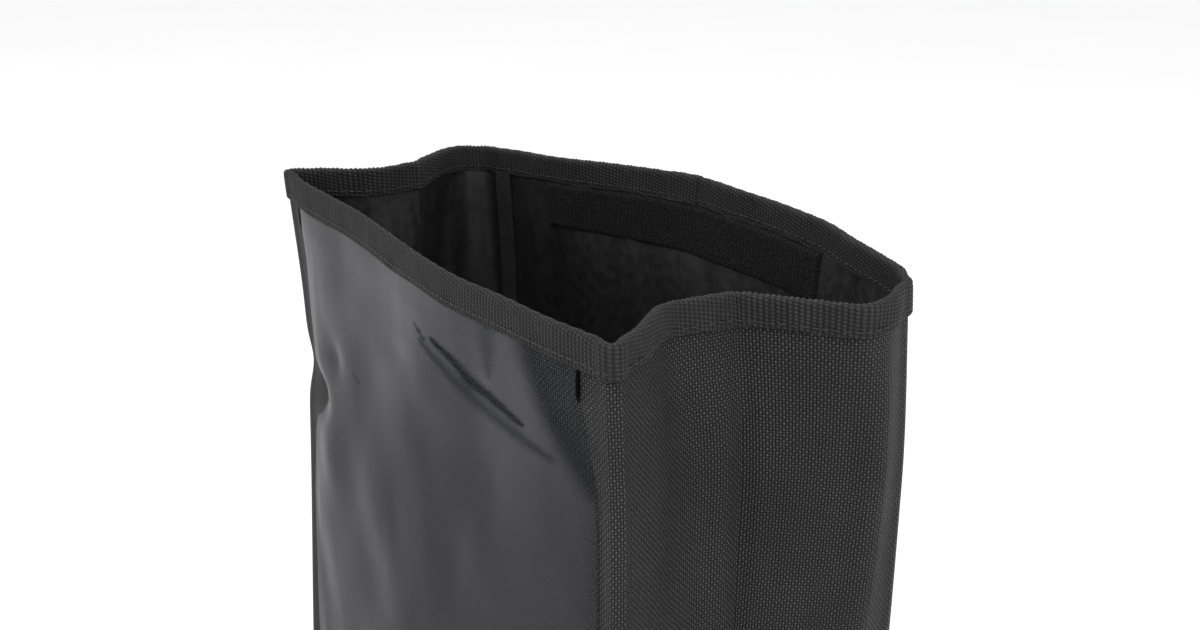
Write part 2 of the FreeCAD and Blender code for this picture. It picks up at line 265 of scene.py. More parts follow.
class Wall:
    """The bag's wall as a surface: place on the way round, and height from 0 to 1."""

    # Samples in each stretch of the outlines. The rounding of the corners and the sharpness
    # of the crease are spreads, counted in the same samples.
    PER_WALL = (512, 128, 128, 512, 128, 128)
    ROUNDING = 3.2
    CREASE_SAMPLES = 6.0
    # Dents fade out under the binding and at the foot, and slack over a longer way.
    RIM_STILL, RIM_FADE, FOOT_FADE = 12 * MM, 25 * MM, 20 * MM
    SLACK_TOP, SLACK_FADE, SLACK_FOOT = 9 * MM, 60 * MM, 50 * MM

    def __init__(self):
        steps = [np.linspace(STARTS[i], STARTS[i + 1], n + 1)[:-1] for i, n in enumerate(self.PER_WALL)]
        self.places = np.concatenate(steps + [[4.0]])
        self.levels = [self.loop(outline) for outline in (FOOT, WAIST, RIM)]
        self.levels[0][:, 2] = WALL_LOW
        self.run = run_along(self.levels[2])
        here, out = self.frame(self.places, (250 * MM - WALL_LOW) / (RIM_HEIGHT - WALL_LOW))
        self.face_run = run_along(here + out * CLOTH[1])

    def loop(self, outline):
        """A closed loop from an outline, with its corners rounded."""
        parts = [curve_through(points, n)[:-1] for points, n in zip(outline, self.PER_WALL)]
        sharp = np.concatenate(parts) * MM
        reach = int(self.ROUNDING * 4)
        weights = np.exp(-0.5 * (np.arange(-reach, reach + 1) / self.ROUNDING) ** 2)
        weights /= weights.sum()
        wide = np.concatenate([sharp[-reach:], sharp, sharp[:reach]])
        soft = np.stack([np.convolve(wide[:, k], weights, mode="valid") for k in range(3)], axis=1)
        crease = sum(self.PER_WALL[:5])
        near = np.exp(-((np.arange(len(soft)) - crease) / self.CREASE_SAMPLES) ** 2)[:, None]
        soft += near * (sharp[crease] - soft[crease])
        return np.concatenate([soft, soft[:1]])

    def length(self, place):
        """Metres round the rim up to a place, counted on past one turn."""
        place = np.asarray(place, float)
        return np.interp(place % 4, self.places, self.run) + np.floor(place / 4) * self.run[-1]

    def along_face(self, place):
        """Metres along the cloth's outer face, which takes in its ridges and folds."""
        place = np.asarray(place, float)
        turns = np.floor(place / 4)
        return np.interp(place - turns * 4, self.places, self.face_run) + turns * self.face_run[-1]

    def place_at(self, run):
        """The place that lies some metres round the rim: the opposite of length."""
        run = np.asarray(run, float)
        turns = np.floor(run / self.run[-1])
        return np.interp(run - turns * self.run[-1], self.run, self.places) + 4 * turns

    def plain(self, place, rise):
        """Position without dents."""
        wrapped = np.asarray(place, float) % 4
        foot, waist, rim = (
            np.stack([np.interp(wrapped, self.places, level[:, k]) for k in range(3)], axis=-1)
            for level in self.levels)
        middle = (WAIST_HEIGHT - WALL_LOW) / (RIM_HEIGHT - WALL_LOW)
        rise = np.asarray(rise, float)[..., None]
        slope = rim - foot
        low = np.clip(rise / middle, 0, None)
        high = (rise - middle) / (1 - middle)
        below = hermite(low, foot, slope * middle, waist, slope * middle)
        lean = rim - waist
        above = waist + lean * high + (slope * (1 - middle) - lean) * high * (1 - high) ** 2
        return np.where(rise < middle, below, above)

    def dent(self, place, z):
        """How far the dents, bulges and slack push the wall outwards."""
        place = np.asarray(place, float)
        push = np.zeros(np.broadcast(place, z).shape)
        here = self.length(np.asarray(place) % 4)
        for at, height, wide, tall, depth in DENTS:
            gap = here - self.length(at)
            gap = (gap + self.run[-1] / 2) % self.run[-1] - self.run[-1] / 2
            push += depth * MM * np.exp(-(gap / (wide * MM)) ** 2 - ((z / MM - height) / tall) ** 2)
        foot = np.clip(z / self.FOOT_FADE, 0, 1)
        push *= np.clip((RIM_HEIGHT - self.RIM_STILL - z) / self.RIM_FADE, 0, 1) * foot
        for corner in range(5):
            gap = here - self.length(np.float64(corner) - 1e-9 * (corner == 4))
            push += RIDGE_HIGH * foot * np.exp(-(gap / RIDGE_WIDE) ** 4)
        wall = np.floor(place % 4).astype(int)
        slack = np.array(SLACK)[wall] * MM * np.sin(math.pi * (place % 1)) ** 2
        hang = np.clip((RIM_HEIGHT - self.SLACK_TOP - z) / self.SLACK_FADE, 0, 1)
        hang = hang * np.clip(z / self.SLACK_FOOT, 0, 1)
        push += slack * hang * ripple(here, z, SLACK_WAVES, 31)
        return push * (1 - np.exp(-((here - self.length(3.5)) / CREASE_STILL) ** 2))

    def frame(self, place, rise):
        """Position and outward direction."""
        place, rise = np.broadcast_arrays(np.asarray(place, float), np.asarray(rise, float))
        step = 0.004
        here = self.plain(place, rise)
        along = self.plain(place + step, rise) - self.plain(place - step, rise)
        up = self.plain(place, rise + step) - self.plain(place, rise - step)
        out = np.cross(along, up)
        out /= np.linalg.norm(out, axis=-1, keepdims=True)
        return here + out * self.dent(place, here[..., 2])[..., None], out

    def folded(self, place, offset):
        """An outward offset, pared away beside the left crease, whose outer faces fold together."""
        offset = np.asarray(offset, float)
        gap = np.abs(self.length(np.asarray(place, float) % 4) - self.length(3.5))
        room = 0.03 * MM + 0.04 * offset + gap * (0.2 + 0.07 * offset / MM)
        return np.where(offset > 0, np.minimum(offset, room), offset)

    def rise_under(self, depth):
        """Height share at a depth under the cloth's top edge."""
        return 1 - (np.asarray(depth, float) + 0.9 * MM) / (RIM_HEIGHT - WALL_LOW)


WALL = Wall()


# ---------------------------------------------------------------- meshes


def new_object(name, vertices, faces, material, uv=None):
    """An object from arrays. uv gives one pair per vertex, in metres along the cloth."""
    mesh = bpy.data.meshes.new(name)
    mesh.from_pydata(np.asarray(vertices).reshape(-1, 3).tolist(), [], faces)
    mesh.update()
    if uv is not None:
        layer = mesh.uv_layers.new(name="cloth")
        loops = np.zeros(len(mesh.loops), np.int32)
        mesh.loops.foreach_get("vertex_index", loops)
        layer.data.foreach_set("uv", np.asarray(uv)[loops].astype(np.float32).ravel())
    mesh.polygons.foreach_set("use_smooth", [True] * len(mesh.polygons))
    piece = bpy.data.objects.new(name, mesh)
    bpy.context.scene.collection.objects.link(piece)
    mesh.materials.append(material)
    return piece


def sharpen(piece, degrees=50):
    """Marks the sharp edges of a smooth mesh."""
    piece.data.set_sharp_from_angle(angle=math.radians(degrees))
    return piece


def band_faces(rows, columns, start=0, flip=False, closed=False):
    """Quads between rows of vertices, each row of the same number of columns."""
    quads = []
    for i in range(rows - 1):
        for j in range(columns if closed else columns - 1):
            k = (j + 1) % columns
            quad = [start + i * columns + j, start + (i + 1) * columns + j,
                    start + (i + 1) * columns + k, start + i * columns + k]
            quads.append(quad[::-1] if flip else quad)
    return quads


def closed_sheet(rows, columns, flip=False):
    """Faces of a thin closed sheet: a grid of vertices, the same grid again behind it, and the edge."""
    total = rows * columns
    faces = band_faces(rows, columns, flip=flip) + band_faces(rows, columns, total, flip=not flip)
    edge = ([i * columns for i in range(rows)]
            + [(rows - 1) * columns + j for j in range(1, columns)]
            + [i * columns + columns - 1 for i in range(rows - 2, -1, -1)]
            + list(range(columns - 2, 0, -1)))
    for here, after in zip(edge, edge[1:] + edge[:1]):
        if flip:
            faces.append([here, here + total, after + total, after])
        else:
            faces.append([here, after, after + total, here + total])
    return faces


def both_sides(front, back):
    """One list of the vertices of two grids."""
    return np.concatenate([front.reshape(-1, 3), back.reshape(-1, 3)])


def slab(name, places, rises, inner, outer, material):
    """A layer of the wall: a closed sheet between two offsets outwards from the middle."""
    across, up = np.meshgrid(places, rises, indexing="ij")
    here, out = WALL.frame(across, up)
    faces_out = here + out * WALL.folded(across, np.broadcast_to(outer, across.shape))[..., None]
    faces_in = here + out * np.broadcast_to(inner, across.shape)[..., None]
    metres = np.stack([WALL.along_face(across), here[..., 2]], axis=-1).reshape(-1, 2)
    piece = new_object(name, both_sides(faces_out, faces_in), closed_sheet(*across.shape), material,
                       np.concatenate([metres, metres]))
    return sharpen(piece)


def spread(start, end, step):
    """Places from start to end, about one step of cloth apart."""
    count = max(2, round(float(WALL.length(end) - WALL.length(start)) / step))
    return WALL.place_at(np.linspace(WALL.length(start), WALL.length(end), count + 1))


def fasten(piece, stretch):
    """Makes a piece move with the body of its stretch of wall; a piece of a stretch between two bodies is
    only fixed where it is.
    """
    _start, _end, body, *bend = STRETCHES[stretch]
    if bend:
        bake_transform(piece)
    else:
        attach(piece, body)


def stand_for(stretch, layer):
    """Hides the CAD node that a piece replaces, if its stretch has one."""
    if stretch in NODE_OF:
        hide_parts(f"{NODE_OF[stretch]}_{layer}")


# ---------------------------------------------------------------- materials


class Shader:
    """A node material in the making."""

    def __init__(self, name):
        self.material = bpy.data.materials.new(name)
        self.material.use_nodes = True
        self.tree = self.material.node_tree
        self.tree.nodes.clear()
        self.output = self.tree.nodes.new("ShaderNodeOutputMaterial")

    def node(self, kind, **inputs):
        made = self.tree.nodes.new("ShaderNode" + kind)
        for name, value in inputs.items():
            self.feed(made.inputs[name.replace("_", " ")], value)
        return made

    def feed(self, socket, value):
        if isinstance(value, bpy.types.NodeSocket):
            self.tree.links.new(value, socket)
        else:
            socket.default_value = value

    def math(self, operation, first, second=0.0, third=None):
        made = self.tree.nodes.new("ShaderNodeMath")
        made.operation = operation
        self.feed(made.inputs[0], first)
        self.feed(made.inputs[1], second)
        if third is not None:
            self.feed(made.inputs[2], third)
        return made.outputs[0]

    def cloth_place(self):
        """Metres along and up the cloth."""
        made = self.tree.nodes.new("ShaderNodeUVMap")
        made.uv_map = "cloth"
        return made.outputs["UV"]

    def object_place(self):
        return self.tree.nodes.new("ShaderNodeTexCoord").outputs["Object"]

    def noise(self, place, scale, detail=3.0, roughness=0.5):
        made = self.node("TexNoise", Vector=place, Scale=scale, Detail=detail, Roughness=roughness)
        return made.outputs["Fac"]

    def spread(self, value, low, high, to_low=0.0, to_high=1.0):
        made = self.tree.nodes.new("ShaderNodeMapRange")
        made.interpolation_type = "SMOOTHSTEP"
        for number, each in enumerate((value, low, high, to_low, to_high)):
            self.feed(made.inputs[number], each)
        return made.outputs[0]

    def tint(self, colour, factor):
        """A colour made darker or lighter by a factor that varies over the surface."""
        made = self.tree.nodes.new("ShaderNodeVectorMath")
        made.operation = "SCALE"
        made.inputs[0].default_value = tuple(colour)
        self.feed(made.inputs["Scale"], factor)
        return made.outputs[0]

    def bump(self, height, depth, strength=1.0, below=None):
        made = self.node("Bump", Height=height, Distance=depth, Strength=strength)
        if below is not None:
            self.tree.links.new(below, made.inputs["Normal"])
        return made.outputs["Normal"]

    def finish(self, shader):
        self.tree.links.new(shader, self.output.inputs["Surface"])
        return self.material

    def plain_weave(self, pitch, wobble=0.22):
        """Height of a plain weave, and which cells show the upright thread on top."""
        place = self.cloth_place()
        apart = self.tree.nodes.new("ShaderNodeSeparateXYZ")
        self.tree.links.new(place, apart.inputs[0])
        drift = self.math("SUBTRACT", self.noise(place, 0.25 / pitch, 2.0), 0.5)
        cells, gaps = [], []
        for axis in ("X", "Y"):
            scaled = self.math("MULTIPLY_ADD", apart.outputs[axis], 1 / pitch, 2000.0)
            moved = self.math("MULTIPLY_ADD", drift, wobble * 2, scaled)
            cells.append(self.math("FLOOR", moved))
            centred = self.math("MULTIPLY_ADD", self.math("FRACT", moved), 2.0, -1.0)
            gaps.append(self.math("POWER", self.math("ABSOLUTE", centred), 2.0))
        over = self.math("MODULO", self.math("ADD", *cells), 2.0)
        heights = []
        for near, far in (gaps, gaps[::-1]):
            across = self.math("SUBTRACT", 1.0, near)
            along = self.math("MULTIPLY_ADD", far, -0.45, 1.0)
            heights.append(self.math("MULTIPLY", across, along))
        difference = self.math("SUBTRACT", heights[0], heights[1])
        height = self.math("MULTIPLY_ADD", difference, over, heights[1])
        return height, over


def cloth_material(colour, pitch):
    """Coarse plain weave with a thin coat: matt hollows, faintly shining thread crowns, with painted
    highlights on the crowns and upright cells and painted shade in the hollows.
    """
    look = Shader("coarse_weave")
    height, over = look.plain_weave(pitch)
    place = look.cloth_place()
    blotch = look.spread(look.noise(place, 28.0, 4.0), 0.3, 0.7, 0.86, 1.14)
    # Painted sheen and highlights: cells with the upright thread on top and the thread crowns are made
    # lighter in colour, and the hollows between them darker, a painted shade.
    thread = look.math("MULTIPLY_ADD", over, 0.30, 0.02)
    crown = look.math("MULTIPLY", look.math("POWER", height, 2.0),
                      look.math("MULTIPLY_ADD", over, 1.3, 0.9))
    painted_highlight_and_shade = look.math("MULTIPLY", look.math("MULTIPLY_ADD", crown, 1.9, thread), blotch)
    slub = look.spread(look.noise(place, 900.0, 2.0), 0.35, 0.75, 0.8, 1.25)
    rough = look.math("SUBTRACT", 0.82, look.math("MULTIPLY", height, 0.26))
    normal = look.bump(height, 0.55 * MM, 1.0)
    soft = look.bump(look.noise(place, 60.0, 3.0), 0.8 * MM, 0.25, below=normal)
    base = look.node("BsdfPrincipled", Base_Color=look.tint(colour, look.math("MULTIPLY", painted_highlight_and_shade, slub)),
                     Roughness=rough, Normal=soft, Specular_IOR_Level=0.22)
    return look.finish(base.outputs[0])


def lining_material(colour):
    """Smooth fine weave with a satin coat and soft creases."""
    look = Shader("smooth_lining")
    height, _over = look.plain_weave(0.42 * MM, wobble=0.1)
    place = look.object_place()
    stretched = look.node("Mapping", Vector=place, Scale=(1.0, 1.0, 0.25))
    folds = look.noise(stretched.outputs[0], 46.0, 4.0, 0.55)
    blotch = look.spread(look.noise(place, 18.0, 3.0), 0.3, 0.7, 0.85, 1.2)
    normal = look.bump(folds, 2.2 * MM, 0.5)
    fine = look.bump(height, 0.06 * MM, 0.6, below=normal)
    rough = look.spread(look.noise(place, 240.0, 3.0), 0.3, 0.7, 0.34, 0.48)
    base = look.node("BsdfPrincipled", Base_Color=look.tint(colour, blotch), Roughness=rough,
                     Normal=fine, Specular_IOR_Level=0.7)
    return look.finish(base.outputs[0])


def tape_material(name, colour, rib_pitch, bead_pitch, along="X"):
    """Ribbed tape: each rib a string of beads where the cross threads go over it, with painted highlights
    on the beads and rib crowns and painted shade between the ribs.
    """
    look = Shader(name)
    place = look.cloth_place()
    apart = look.tree.nodes.new("ShaderNodeSeparateXYZ")
    look.tree.links.new(place, apart.inputs[0])
    other = "Y" if along == "X" else "X"
    rib = look.math("COSINE", look.math("MULTIPLY", apart.outputs[along], 2 * math.pi / rib_pitch))
    slant = look.math("MULTIPLY", apart.outputs[along], 0.5 * math.pi / rib_pitch)
    bead = look.math("COSINE", look.math("MULTIPLY_ADD", apart.outputs[other],
                                         2 * math.pi / bead_pitch, slant))
    crown = look.math("POWER", look.math("MULTIPLY_ADD", rib, 0.5, 0.5), 0.8)
    knot = look.math("MULTIPLY", crown, look.math("MULTIPLY_ADD", bead, 0.5, 0.5))
    fuzz = look.noise(place, 2600.0, 2.0)
    # Painted highlights on the rib crowns and beads, and painted shade between the ribs.
    painted_highlight_and_shade = look.math("ADD", look.math("MULTIPLY_ADD", crown, 0.40, 0.02), look.math("MULTIPLY", knot, 1.9))
    worn = look.spread(look.noise(place, 90.0, 4.0), 0.35, 0.75, 0.8, 1.3)
    factor = look.math("MULTIPLY", look.math("MULTIPLY", painted_highlight_and_shade, worn), look.spread(fuzz, 0.2, 0.8, 0.8, 1.2))
    normal = look.bump(look.math("MULTIPLY_ADD", knot, 1.6, fuzz), 0.16 * MM, 0.8)
    base = look.node("BsdfPrincipled", Base_Color=look.tint(colour, factor), Roughness=0.72, Normal=normal,
                     Specular_IOR_Level=0.3, Sheen_Weight=0.03, Sheen_Roughness=0.4)
    return look.finish(base.outputs[0])


def pile_material(name, colour, pitch):
    """Closure strip: rows of small hooks or brushed loops, with painted highlights on the tuft tops and
    painted shade between the tufts.
    """
    look = Shader(name)
    place = look.cloth_place()
    cells = look.node("TexVoronoi", Vector=place, Scale=1 / pitch)
    tuft = look.spread(cells.outputs["Distance"], 0.0, 0.7, 1.0, 0.0)
    worn = look.spread(look.noise(place, 140.0, 4.0), 0.3, 0.7, 0.6, 1.5)
    normal = look.bump(tuft, 0.5 * MM, 0.9)
    # Painted highlights on the tuft tops and painted shade between the tufts.
    factor = look.math("MULTIPLY", look.math("MULTIPLY_ADD", tuft, 1.2, 0.45), worn)
    base = look.node("BsdfPrincipled", Base_Color=look.tint(colour, factor), Roughness=0.9, Normal=normal,
                     Specular_IOR_Level=0.25, Sheen_Weight=0.03, Sheen_Roughness=0.35)
    return look.finish(base.outputs[0])


def film_material(colour):
    """Clear soft film: shining and a little milky where it stands off, clear where it clings, with its
    shine made stronger towards the top, a painted reflection.
    """
    look = Shader("clear_film")
    place = look.cloth_place()
    cling = look.tree.nodes.new("ShaderNodeAttribute")
    cling.attribute_name = "cling"
    slanted = look.node("Mapping", Vector=place, Scale=(1.0, 0.35, 1.0), Rotation=(0.0, 0.0, 0.5))
    waves = look.noise(slanted.outputs[0], 26.0, 3.0, 0.45)
    normal = look.bump(waves, 2.5 * MM, 0.16)
    milk = look.node("BsdfDiffuse", Color=(*colour, 1.0), Normal=normal)
    facing = look.node("LayerWeight", Blend=0.5, Normal=normal).outputs["Facing"]
    gloss = look.math("MULTIPLY_ADD", look.math("POWER", facing, 5.0), 0.35, 0.034)
    loose = look.math("SUBTRACT", 1.0, cling.outputs["Fac"])
    passed = look.tint((0.93, 0.94, 0.95), look.math("MULTIPLY_ADD", loose, -0.66, 1.0))
    clear = look.node("BsdfTransparent", Color=passed)
    streaky = look.spread(look.noise(slanted.outputs[0], 24.0, 4.0), 0.3, 0.72, 0.7, 1.0)
    apart = look.tree.nodes.new("ShaderNodeSeparateXYZ")
    look.tree.links.new(place, apart.inputs[0])
    # Painted reflection: the shine is made stronger towards the top of the film.
    painted_top_shine = look.spread(apart.outputs["Y"], 0.21, 0.29, 0.78, 1.38)
    strength = look.math("MULTIPLY", look.math("MULTIPLY", gloss, streaky), painted_top_shine)
    strength = look.math("MULTIPLY", strength, look.spread(loose, 0.04, 1.0))
    shine = look.node("BsdfGlossy", Color=(0.96, 0.96, 1.0, 1.0), Roughness=0.3, Normal=normal)
    # The diffuse milk takes most of the shine's strength, so it stands in for most of the film's
    # reflection.
    veil = look.math("MULTIPLY", strength, 0.35)
    haze = look.math("MULTIPLY_ADD", look.math("MULTIPLY", streaky, 0.012), loose,
                     look.math("MULTIPLY", strength, 0.65))
    body = look.node("MixShader", Fac=haze)
    look.tree.links.new(clear.outputs[0], body.inputs[1])
    look.tree.links.new(milk.outputs[0], body.inputs[2])
    both = look.node("MixShader", Fac=veil)
    look.tree.links.new(body.outputs[0], both.inputs[1])
    look.tree.links.new(shine.outputs[0], both.inputs[2])
    return look.finish(both.outputs[0])


def painted_shadow_material():
    """Painted shadow: near-black cloth standing for the deep shade inside the film's slits."""
    look = Shader("painted_slit_shadow")
    shade = look.spread(look.noise(look.object_place(), 500.0, 2.0), 0.3, 0.7, 0.6, 1.2)
    normal = look.bump(look.noise(look.object_place(), 900.0, 2.0), 0.1 * MM, 0.5)
    base = look.node("BsdfPrincipled", Base_Color=look.tint((0.002, 0.002, 0.002), shade),
                     Roughness=0.95, Normal=normal, Specular_IOR_Level=0.05)
    return look.finish(base.outputs[0])


def thread_material(colour):
    """Twisted sewing thread."""
    look = Shader("sewing_thread")
    place = look.object_place()
    twist = look.node("TexWave", Vector=place, Scale=900.0, Distortion=2.0)
    shade = look.spread(twist.outputs["Fac"], 0.0, 1.0, 0.6, 1.5)
    normal = look.bump(twist.outputs["Fac"], 0.1 * MM, 0.6)
    base = look.node("BsdfPrincipled", Base_Color=look.tint(colour, shade), Roughness=0.55, Normal=normal)
    return look.finish(base.outputs[0])


def floor_material(colour):
    """Pale, very slightly uneven studio floor."""
    look = Shader("studio_floor")
    tone = look.spread(look.noise(look.object_place(), 2.0, 2.0), 0.3, 0.7, 0.985, 1.0)
    base = look.node("BsdfPrincipled", Base_Color=look.tint(colour, tone), Roughness=0.9)
    return look.finish(base.outputs[0])


MATERIALS = {}


def material(name):
    """A material of the bag, made once."""
    if name not in MATERIALS:
        sizes, colours = bpy.context.scene.bag_sizes, bpy.context.scene.bag_colours
        makers = {
            "cloth": lambda: cloth_material(colours.cloth, sizes.weave_pitch),
            "lining": lambda: lining_material(colours.lining),
            "tape": lambda: tape_material("ribbed_tape", colours.tape, sizes.rib_pitch, sizes.bead_pitch),
            "seam": lambda: tape_material("seam_tape", colours.seam, 1.2 * MM, 0.9 * MM, "Y"),
            "loop": lambda: pile_material("loop_pile", colours.pile, 0.9 * MM),
            "hook": lambda: pile_material("hook_pile", colours.pile, 1.3 * MM),
            "film": lambda: film_material(colours.film),
            # The gap material is painted shadow for the film's slits.
            "gap": painted_shadow_material,
            "thread": lambda: thread_material(colours.thread),
            "floor": lambda: floor_material(colours.floor),
        }
        MATERIALS[name] = makers[name]()
    return MATERIALS[name]


# ---------------------------------------------------------------- operators


def seat(rises):
    """Turns the wall's lowest edge a little inwards, where it meets the base."""
    return -2.2 * MM * np.clip(1 - np.asarray(rises) * (RIM_HEIGHT - WALL_LOW) / (5 * MM), 0, 1) ** 2


class BAG_OT_panels(bpy.types.Operator):
    """Outer woven cloth of the front, the back and both gussets"""

    bl_idname = "bag.panels"
    bl_label = "Outer cloth"

    def execute(self, context):
        step = context.scene.bag_sizes.cloth_step
        rows = round(RIM_HEIGHT / (step * 1.25))
        rises = np.linspace(0, WALL.rise_under(0), rows)
        for stretch, (start, end, *_rest) in STRETCHES.items():
            places = spread(start, end, step)
            tuck = np.broadcast_to(seat(rises), (len(places), rows))
            piece = slab(f"{stretch}_cloth", places, rises, CLOTH[0] + tuck, CLOTH[1] + tuck,
                         material("cloth"))
            stand_for(stretch, "panel")
            fasten(piece, stretch)
        return {"FINISHED"}


class BAG_OT_linings(bpy.types.Operator):
    """Smooth lining inside the front, the back and both gussets"""

    bl_idname = "bag.linings"
    bl_label = "Lining"

    def execute(self, context):
        step = context.scene.bag_sizes.cloth_step
        rows = round(RIM_HEIGHT / (step * 1.25))
        rises = np.linspace(0, WALL.rise_under(0), rows)
        for stretch, (start, end, *_rest) in STRETCHES.items():
            places = spread(start, end, step)
            across, up = np.meshgrid(places, rises, indexing="ij")
            loose = 0.5 * (1 + ripple(WALL.length(across), up, LINING_WAVES, 4))
            slack = loose * np.clip((1 - up) * 7, 0, 1) * np.clip(up * 12, 0, 1) * 1.6 * MM
            slack = slack * edge_fade(places)[:, None]
            tuck = seat(up)
            piece = slab(f"{stretch}_lining_cloth", places, rises, LINING[0] - slack + tuck,
                         LINING[1] - slack + tuck, material("lining"))
            stand_for(stretch, "lining")
            fasten(piece, stretch)
        return {"FINISHED"}


def edge_fade(places):
    """1 over most of a stretch, falling to 0 at its ends."""
    share = np.linspace(0, 1, len(places))
    return np.clip(np.minimum(share, 1 - share) * 12, 0, 1)


def binding_section(leg):
    """Closed outline of the folded tape: (outwards, under the cloth's edge), and how far ribs show."""
    crown = 0.25 * MM
    arc = [(TAPE_FACE * math.cos(a), -crown - 0.95 * MM * math.sin(a), 1.0)
           for a in np.linspace(0, math.pi, 9)]
    depths = np.linspace(leg, 0.8 * MM, 28)
    outside = [(TAPE_FACE, leg + 0.1 * MM, 0.0)]
    outside += [(TAPE_FACE + 0.12 * MM, d, 0.25 if i == 0 else 1.0) for i, d in enumerate(depths)]
    inside = [(-x, d, r) for x, d, r in outside[::-1]]
    under = [(-TAPE_GAP, leg, 0.0), (-TAPE_GAP, 0.1 * MM, 0.0), (TAPE_GAP, 0.1 * MM, 0.0),
             (TAPE_GAP, leg, 0.0)]
    return np.array(outside + arc + inside + under)


def binding(name, start, end, sizes, lift=0.0):
    """Ribbed tape folded over the rim from one place to another."""
    section = binding_section(sizes.tape_leg)
    places = spread(start, end, sizes.rib_pitch / 6)
    across, number = np.meshgrid(places, np.arange(len(section)), indexing="ij")
    out_by, depth, ribbed = (section[:, k][number] for k in range(3))
    run = WALL.along_face(across)
    wave = 0.5 + 0.5 * np.cos(2 * math.pi * run / sizes.rib_pitch)
    slant = 0.5 * math.pi * run / sizes.rib_pitch
    bead = 0.5 + 0.5 * np.cos(2 * math.pi * depth / sizes.bead_pitch + slant)
    rib = sizes.rib_height * (wave ** 0.7 * (0.75 + 0.5 * bead) - 0.55) * ribbed
    sway = 0.35 * MM * ripple(run, run, ((0.07, 9), (0.023, 9), (0.041, 9)), 7)
    puff = 0.25 * MM * ripple(run, depth, ((0.05, 0.06), (0.017, 0.04)), 9) * ribbed
    sign = np.sign(out_by)
    here, out = WALL.frame(across, WALL.rise_under(depth + sway * (depth > 5 * MM)))
    over = np.clip(-depth / (1.2 * MM), 0, 1)
    push = out_by + sign * (rib + puff + lift * (ribbed > 0))
    points = here + out * WALL.folded(across, push)[..., None]
    points[..., 2] += (rib + sway * 0.4 + lift * over * 0.8) * over
    rows, columns = across.shape
    faces = [face[::-1] for face in band_faces(rows, columns, closed=True)]
    faces.append(list(range(columns))[::-1])
    faces.append([(rows - 1) * columns + j for j in range(columns)])
    along = np.cumsum(np.concatenate([[0], np.hypot(*np.diff(section[:, :2], axis=0).T)]))
    uv = np.stack([run, along[number]], axis=-1).reshape(-1, 2)
    return sharpen(new_object(name, points, faces, material("tape"), uv), 60)


class BAG_OT_rim_binding(bpy.types.Operator):
    """Ribbed tape folded over the rim, with its overlapped end on the back"""

    bl_idname = "bag.rim_binding"
    bl_label = "Rim binding"

    def execute(self, context):
        sizes = context.scene.bag_sizes
        for stretch, (start, end, *_rest) in STRETCHES.items():
            piece = binding(f"{stretch}_binding", start, end, sizes)
            stand_for(stretch, "rim_binding")
            fasten(piece, stretch)
        join = binding("binding_join", 2.545, 2.605, sizes, lift=0.5 * MM)
        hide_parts("rim_binding_join")
        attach(join, "back_and_base")
        return {"FINISHED"}


def strip(name, start, end, top, tall, kind):
    """A closure strip inside the wall: a raised pile between two flat selvages."""
    step = 0.55 * MM
    places = spread(start, end, step)
    depths = np.linspace(top, top + tall, round(tall / step) + 1)
    rises = WALL.rise_under(depths)
    share = np.abs((depths - top) / tall * 2 - 1)
    selvage = np.clip((1 - share) * tall / 2 / (1.5 * MM), 0, 1) ** 0.6
    run = WALL.length(places)
    ends = np.clip(np.minimum(run - run[0], run[-1] - run) / (1.2 * MM), 0, 1) ** 0.6
    rng = np.random.default_rng(11 if kind == "loop" else 12)
    tuft = rng.uniform(0.0, 1.0, (len(places), len(depths)))
    rows = 0.5 + 0.5 * np.cos(2 * math.pi * run / (2.1 * MM))[:, None]
    pile = (0.75 * MM + 0.45 * MM * tuft + 0.35 * MM * rows) * selvage[None, :] * ends[:, None]
    inner = LINING[0] - 0.7 * MM - pile
    return slab(name, places, rises, inner, LINING[0] - 0.15 * MM, material(kind))


class BAG_OT_closure_strips(bpy.types.Operator):
    """Loop strip inside the back and hook strip inside the front"""

    bl_idname = "bag.closure_strips"
    bl_label = "Hook and loop strips"

    def execute(self, context):
        top = context.scene.bag_sizes.tape_leg + 0.4 * MM
        back = WALL.length(3) - WALL.length(2)
        low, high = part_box("loop_strip")
        left_gap = low.x - CAD_BOX[0].x
        long, tall = high.x - low.x, high.z - low.z
        end = WALL.place_at(WALL.length(3) - left_gap)
        start = WALL.place_at(WALL.length(3) - left_gap - long * back / (CAD_BOX[1].x - CAD_BOX[0].x))
        loop = strip("loop_strip_pile", float(start), float(end), top, tall, "loop")
        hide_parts("loop_strip")
        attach(loop, "back_and_base")
        front_start = WALL.place_at(WALL.length(0) + left_gap)
        front_end = WALL.place_at(WALL.length(0) + left_gap + long)
        hook = strip("hook_strip_pile", float(front_start), float(front_end), top, tall, "hook")
        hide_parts("hook_strip")
        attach(hook, "front_wall")
        return {"FINISHED"}


# Where the film clings to the cloth: short runs of (x, height), half width in millimetres, share.
CLING = (
    (((13, 275), (23, 271)), 1.7, 0.8),
    (((27, 273), (45, 269.5), (53, 266), (67, 264.5), (85, 261)), 4.0, 1.0),
    (((18, 270), (40, 264), (58, 260), (80, 257), (102, 254)), 5.2, 0.62),
    (((64, 296), (66, 272)), 7.0, 0.5),
    (((-51, 236), (-41, 232)), 1.4, 0.6),
)
# The film's left edge: (height, how far it lies from the corner). It draws back where it buckles.
FILM_EDGE = ((0, 12), (120, 8), (155, 7), (185, 13), (195.5, 20), (199, 27), (206, 31), (209.5, 37),
             (214, 28), (217, 24), (224, 19), (243, 16), (267, 19), (288, 16), (300, 16))
# Width of the film in millimetres, near enough to measure from its edges.
FILM_RUN = 240


